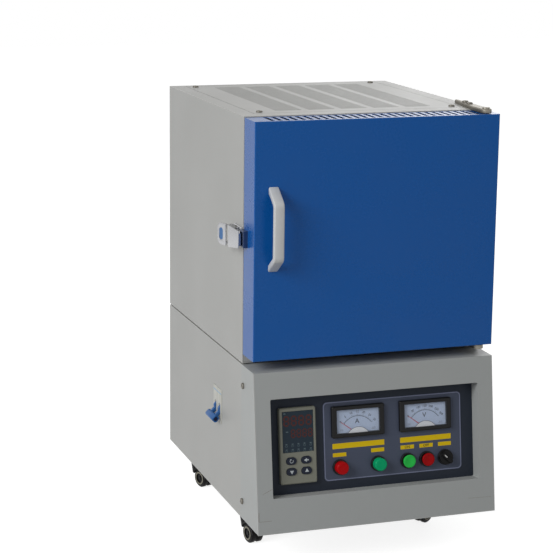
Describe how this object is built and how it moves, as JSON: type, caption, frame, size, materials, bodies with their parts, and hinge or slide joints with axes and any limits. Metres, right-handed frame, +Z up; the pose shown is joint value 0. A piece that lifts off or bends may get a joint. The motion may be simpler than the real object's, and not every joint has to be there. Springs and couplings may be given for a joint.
{
  "type": "muffle furnace",
  "caption": "Bench muffle furnace: swing-door fibre chamber on a castored control cabinet with sloped panel, meters, controller and side breaker.",
  "frame": {"origin": "on the floor under the middle of the whole furnace", "axes": "+X to the right seen from the front, +Y to the back, +Z up; the door faces -Y"},
  "size_m": [0.3444, 0.427, 0.5732],
  "materials": {
    "grey_coat": "light grey powder coat, fine texture",
    "charcoal_coat": "dark grey satin paint",
    "slate_print": "printed slate overlay, satin",
    "controller_plastic": "moulded olive-grey plastic",
    "display_tint": "tinted gloss window",
    "black_plastic": "black moulded plastic",
    "dial_face": "printed dial plate",
    "needle_red": "red painted aluminium",
    "clear_pane": "clear pane",
    "lamp_red_lens": "red moulded lens",
    "lamp_green_lens": "green moulded lens",
    "button_green_cap": "green moulded cap",
    "button_red_cap": "red moulded cap",
    "key_navy": "dark blue rubber key",
    "breaker_white": "light grey moulded plastic",
    "toggle_blue": "blue moulded plastic",
    "zinc_steel": "bright zinc",
    "bare_aluminium": "extruded",
    "caster_black": "black nylon",
    "fibre_white": "vacuum-formed ceramic fibre",
    "element_alloy": "oxidised heating alloy",
    "ceramic_cream": "fired ceramic",
    "hinge_nickel": "dull nickel",
    "door_blue": "glossy blue powder coat",
    "liner_steel": "brushed stainless",
    "handle_satin": "satin silver",
    "latch_chrome": "satin chrome"
  },
  "bodies": {
    "furnace": {"body_screws": "zinc_steel", "breaker_case": "breaker_white", "cabinet_back": "grey_coat", "cabinet_screws": "zinc_steel", "cabinet_shell": "grey_coat", "cable_gland": "black_plastic", "caster_plates": "caster_black", "chamber_back_board": "fibre_white", "chamber_boards": "fibre_white", "console_front": "grey_coat", "control_panel": "charcoal_coat", "controller_case": "controller_plastic", "controller_window": "display_tint", "fan_frame": "black_plastic", "fan_guard": "zinc_steel", "furnace_back": "grey_coat", "furnace_front": "grey_coat", "furnace_shell": "grey_coat", "hearth_plate": "ceramic_cream", "heating_elements": "element_alloy", "hinge_arms": "hinge_nickel", "inner_casing": "zinc_steel", "lamp_green": "lamp_green_lens", "lamp_red": "lamp_red_lens", "latch_base": "latch_chrome", "meter_cases": "black_plastic", "meter_dials": "dial_face", "meter_glasses": "clear_pane", "panel_overlay": "slate_print", "power_controller": "bare_aluminium", "switch_collars": "black_plastic", "thermocouple": "ceramic_cream", "top_cover": "grey_coat"},
    "door": {"door_shell": "door_blue", "door_liner": "liner_steel", "door_plug": "fibre_white", "door_handle": "handle_satin", "door_keeper": "door_blue", "door_screws": "zinc_steel"},
    "latch_lever": {"latch_lever": "latch_chrome"},
    "latch_claw": {"latch_claw": "latch_chrome"},
    "button_green": {"button_green": "button_green_cap"},
    "button_red": {"button_red": "button_red_cap"},
    "selector": {"selector_knob": "black_plastic"},
    "key_mode": {"key_mode": "key_navy"},
    "key_shift": {"key_shift": "key_navy"},
    "key_down": {"key_down": "key_navy"},
    "key_up": {"key_up": "key_navy"},
    "needle_current": {"needle_current": "needle_red"},
    "needle_voltage": {"needle_voltage": "needle_red"},
    "breaker_toggle": {"breaker_toggle": "toggle_blue"},
    "fan_rotor": {"fan_rotor": "black_plastic"},
    "caster_swivel_front_left": {"caster_swivel_front_left": "caster_black"},
    "caster_wheels_front_left": {"caster_wheels_front_left": "caster_black"},
    "caster_swivel_front_right": {"caster_swivel_front_right": "caster_black"},
    "caster_wheels_front_right": {"caster_wheels_front_right": "caster_black"},
    "caster_swivel_rear_left": {"caster_swivel_rear_left": "caster_black"},
    "caster_wheels_rear_left": {"caster_wheels_rear_left": "caster_black"},
    "caster_swivel_rear_right": {"caster_swivel_rear_right": "caster_black"},
    "caster_wheels_rear_right": {"caster_wheels_rear_right": "caster_black"}
  },
  "joints": [
    {"name": "door_swing", "type": "hinge", "parent": "furnace", "child": "door", "pos_m": [0.15497, -0.1755, 0.416], "axis": [0, 0, 1], "range_deg": [0, 110]},
    {"name": "latch_lever_pivot", "type": "hinge", "parent": "furnace", "child": "latch_lever", "pos_m": [-0.15603, -0.1375, 0.418], "axis": [0, 0, 1], "range_deg": [-20, 60]},
    {"name": "latch_claw_pivot", "type": "hinge", "parent": "latch_lever", "child": "latch_claw", "pos_m": [-0.16013, -0.12622, 0.418], "axis": [0, 0, 1], "range_deg": [-60, 20]},
    {"name": "button_green_press", "type": "slide", "parent": "furnace", "child": "button_green", "axis": [0, 0.9917, -0.1289], "range_m": [0, 0.003], "stiffness_N_per_m": 400},
    {"name": "button_red_press", "type": "slide", "parent": "furnace", "child": "button_red", "axis": [0, 0.9917, -0.1289], "range_m": [0, 0.003], "stiffness_N_per_m": 400},
    {"name": "selector_turn", "type": "hinge", "parent": "furnace", "child": "selector", "pos_m": [0.10947, -0.19027, 0.12609], "axis": [0, -0.9917, 0.1289], "range_deg": [0, 90]},
    {"name": "key_mode_press", "type": "slide", "parent": "furnace", "child": "key_mode", "axis": [0, 0.9917, -0.1289], "range_m": [0, 0.0008], "stiffness_N_per_m": 300},
    {"name": "key_shift_press", "type": "slide", "parent": "furnace", "child": "key_shift", "axis": [0, 0.9917, -0.1289], "range_m": [0, 0.0008], "stiffness_N_per_m": 300},
    {"name": "key_down_press", "type": "slide", "parent": "furnace", "child": "key_down", "axis": [0, 0.9917, -0.1289], "range_m": [0, 0.0008], "stiffness_N_per_m": 300},
    {"name": "key_up_press", "type": "slide", "parent": "furnace", "child": "key_up", "axis": [0, 0.9917, -0.1289], "range_m": [0, 0.0008], "stiffness_N_per_m": 300},
    {"name": "needle_current_turn", "type": "hinge", "parent": "furnace", "child": "needle_current", "pos_m": [-0.00928, -0.18207, 0.16587], "axis": [0, 0.9917, -0.1289], "range_deg": [0, 108], "stiffness_Nm_per_rad": 0.002},
    {"name": "needle_voltage_turn", "type": "hinge", "parent": "furnace", "child": "needle_voltage", "pos_m": [0.08237, -0.18207, 0.16587], "axis": [0, 0.9917, -0.1289], "range_deg": [0, 108], "stiffness_Nm_per_rad": 0.002},
    {"name": "breaker_toggle_throw", "type": "hinge", "parent": "furnace", "child": "breaker_toggle", "pos_m": [-0.14753, -0.0385, 0.1717], "axis": [0, 1, 0], "range_deg": [0, 96]},
    {"name": "fan_spin", "type": "hinge", "parent": "furnace", "child": "fan_rotor", "pos_m": [0.06997, 0.181, 0.156], "axis": [0, 1, 0], "continuous": true},
    {"name": "caster_turn_front_left", "type": "hinge", "parent": "furnace", "child": "caster_swivel_front_left", "pos_m": [-0.11903, -0.0748, 0.051], "axis": [0, 0, 1], "continuous": true},
    {"name": "wheel_roll_front_left", "type": "hinge", "parent": "caster_swivel_front_left", "child": "caster_wheels_front_left", "pos_m": [-0.11612, -0.08849, 0.013], "axis": [-0.9781, -0.2079, 0], "continuous": true},
    {"name": "caster_turn_front_right", "type": "hinge", "parent": "furnace", "child": "caster_swivel_front_right", "pos_m": [0.13897, -0.0748, 0.051], "axis": [0, 0, 1], "continuous": true},
    {"name": "wheel_roll_front_right", "type": "hinge", "parent": "caster_swivel_front_right", "child": "caster_wheels_front_right", "pos_m": [0.12685, -0.0818, 0.013], "axis": [-0.5, 0.866, 0], "continuous": true},
    {"name": "caster_turn_rear_left", "type": "hinge", "parent": "furnace", "child": "caster_swivel_rear_left", "pos_m": [-0.11903, 0.1565, 0.051], "axis": [0, 0, 1], "continuous": true},
    {"name": "wheel_roll_rear_left", "type": "hinge", "parent": "caster_swivel_rear_left", "child": "caster_wheels_rear_left", "pos_m": [-0.11424, 0.14334, 0.013], "axis": [-0.9397, -0.342, 0], "continuous": true},
    {"name": "caster_turn_rear_right", "type": "hinge", "parent": "furnace", "child": "caster_swivel_rear_right", "pos_m": [0.13897, 0.1565, 0.051], "axis": [0, 0, 1], "continuous": true},
    {"name": "wheel_roll_rear_right", "type": "hinge", "parent": "caster_swivel_rear_right", "child": "caster_wheels_rear_right", "pos_m": [0.13654, 0.14271, 0.013], "axis": [-0.9848, 0.1736, 0], "continuous": true}
  ],
  "couplings": [
    {"joint": "latch_claw_pivot", "follows": "latch_lever_pivot", "ratio": -1}
  ]
}
